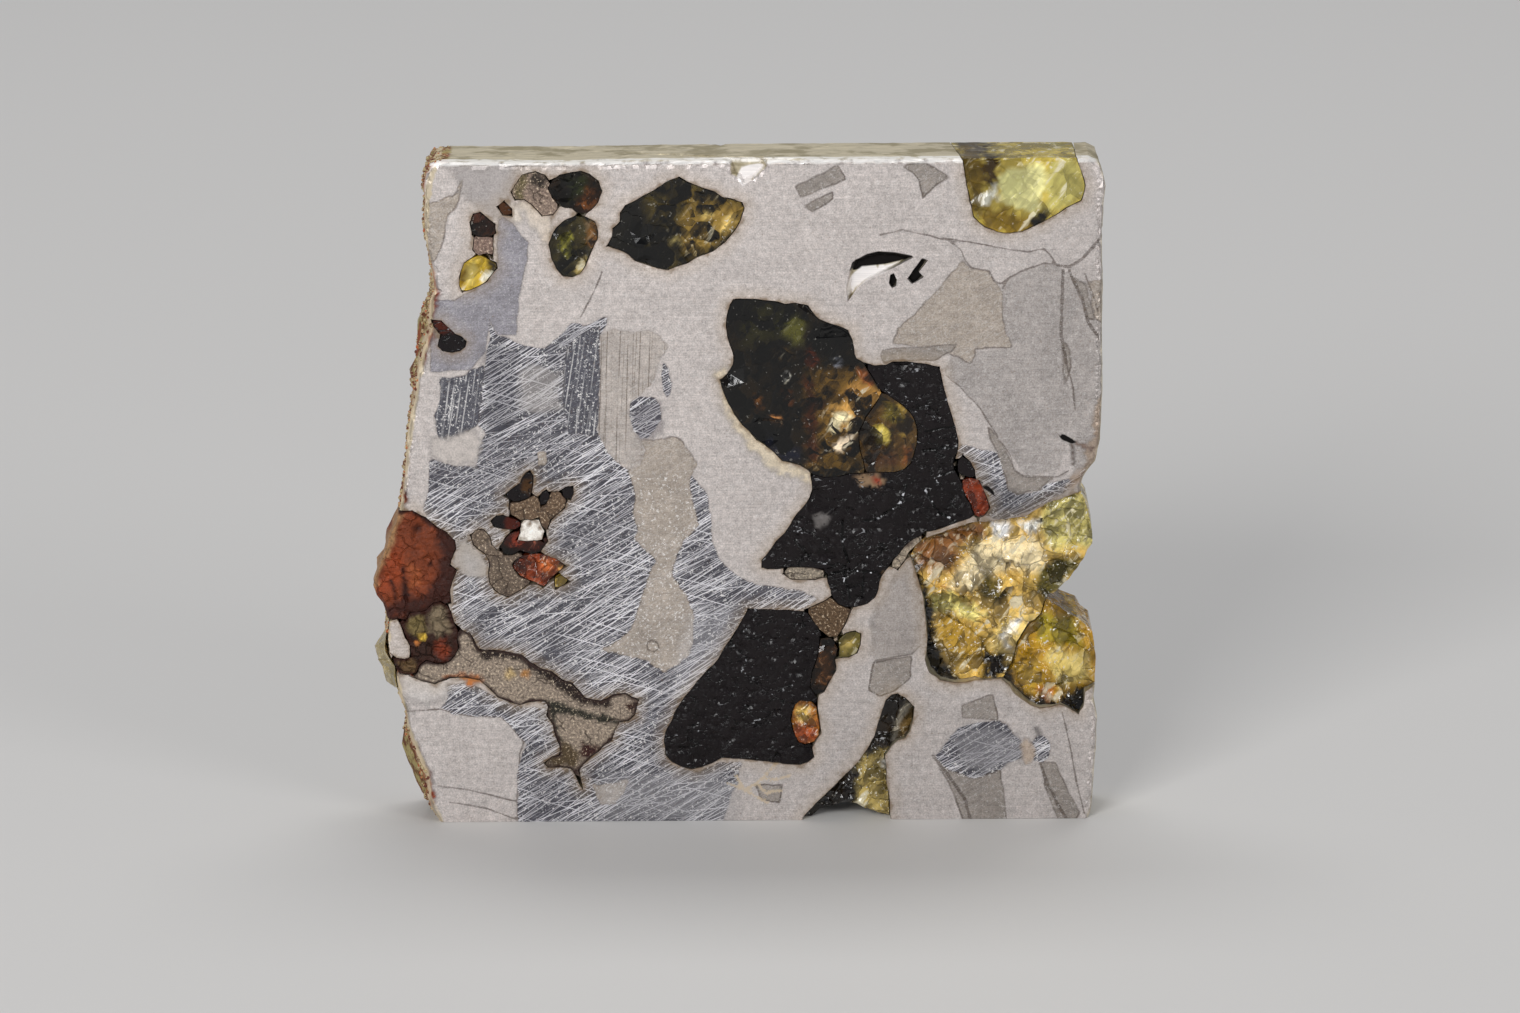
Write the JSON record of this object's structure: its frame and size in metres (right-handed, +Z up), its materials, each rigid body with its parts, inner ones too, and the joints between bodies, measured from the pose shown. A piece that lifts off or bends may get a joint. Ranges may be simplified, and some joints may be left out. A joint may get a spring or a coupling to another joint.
{
  "type": "pallasite meteorite slice",
  "caption": "Polished upright slice of stony-iron meteorite: olivine crystals, dark chromite and brown troilite grains set in iron-nickel metal, with a weathered natural left edge.",
  "frame": {"origin": "middle of the slice's sawn bottom edge, on the surface it stands on", "axes": "+Z up, +X to the right as the polished face is seen, +Y through the slice from the polished face to the back"},
  "size_m": [0.049, 0.006, 0.0454],
  "materials": {
    "metal": "polished and lightly etched, fine scratches",
    "clear_olivine": "clear yellow-green crystal, polished",
    "dark_olivine": "deep brown-green crystal, polished, cracked",
    "honey_olivine": "honey-coloured crystal, broken faces",
    "amber_olivine": "amber crystal stained by iron",
    "brown_olivine": "dark red-brown crystal, polished",
    "chromite": "black, glossy, pitted and cracked",
    "troilite": "brown-bronze, granular, half matt",
    "weathered_silicate": "crumbly brown-green, matt",
    "rust": "iron oxide, rough and matt"
  },
  "bodies": {
    "root": {"metal_slab": "metal", "metal_island": "metal", "metal_bead": "metal", "olivine_top_right": "clear_olivine", "olivine_yellow": "clear_olivine", "olivine_green": "clear_olivine", "olivine_crust": "clear_olivine", "olivine_top_middle": "dark_olivine", "olivine_top_left_lower": "dark_olivine", "olivine_centre": "dark_olivine", "olivine_centre_right": "honey_olivine", "olivine_right_upper": "honey_olivine", "olivine_foot": "honey_olivine", "olivine_tiny": "honey_olivine", "olivine_right_lower": "amber_olivine", "olivine_amber": "amber_olivine", "olivine_red": "amber_olivine", "olivine_orange": "amber_olivine", "olivine_top_left_upper": "brown_olivine", "olivine_heart": "brown_olivine", "olivine_brown": "brown_olivine", "olivine_dark_red": "brown_olivine", "chromite_upper": "chromite", "chromite_lower": "chromite", "chromite_bar": "chromite", "chromite_spot": "chromite", "chromite_grain": "chromite", "chromite_left_a": "chromite", "chromite_left_b": "chromite", "chromite_left_c": "chromite", "chromite_left_d": "chromite", "troilite_top_left": "troilite", "troilite_link": "troilite", "troilite_speck": "troilite", "troilite_middle": "troilite", "troilite_sliver": "troilite", "troilite_vein": "troilite", "troilite_left_upper": "troilite", "troilite_left_lower": "troilite", "weathered_silicate": "weathered_silicate", "rust_inclusion": "rust"}
  },
  "joints": []
}
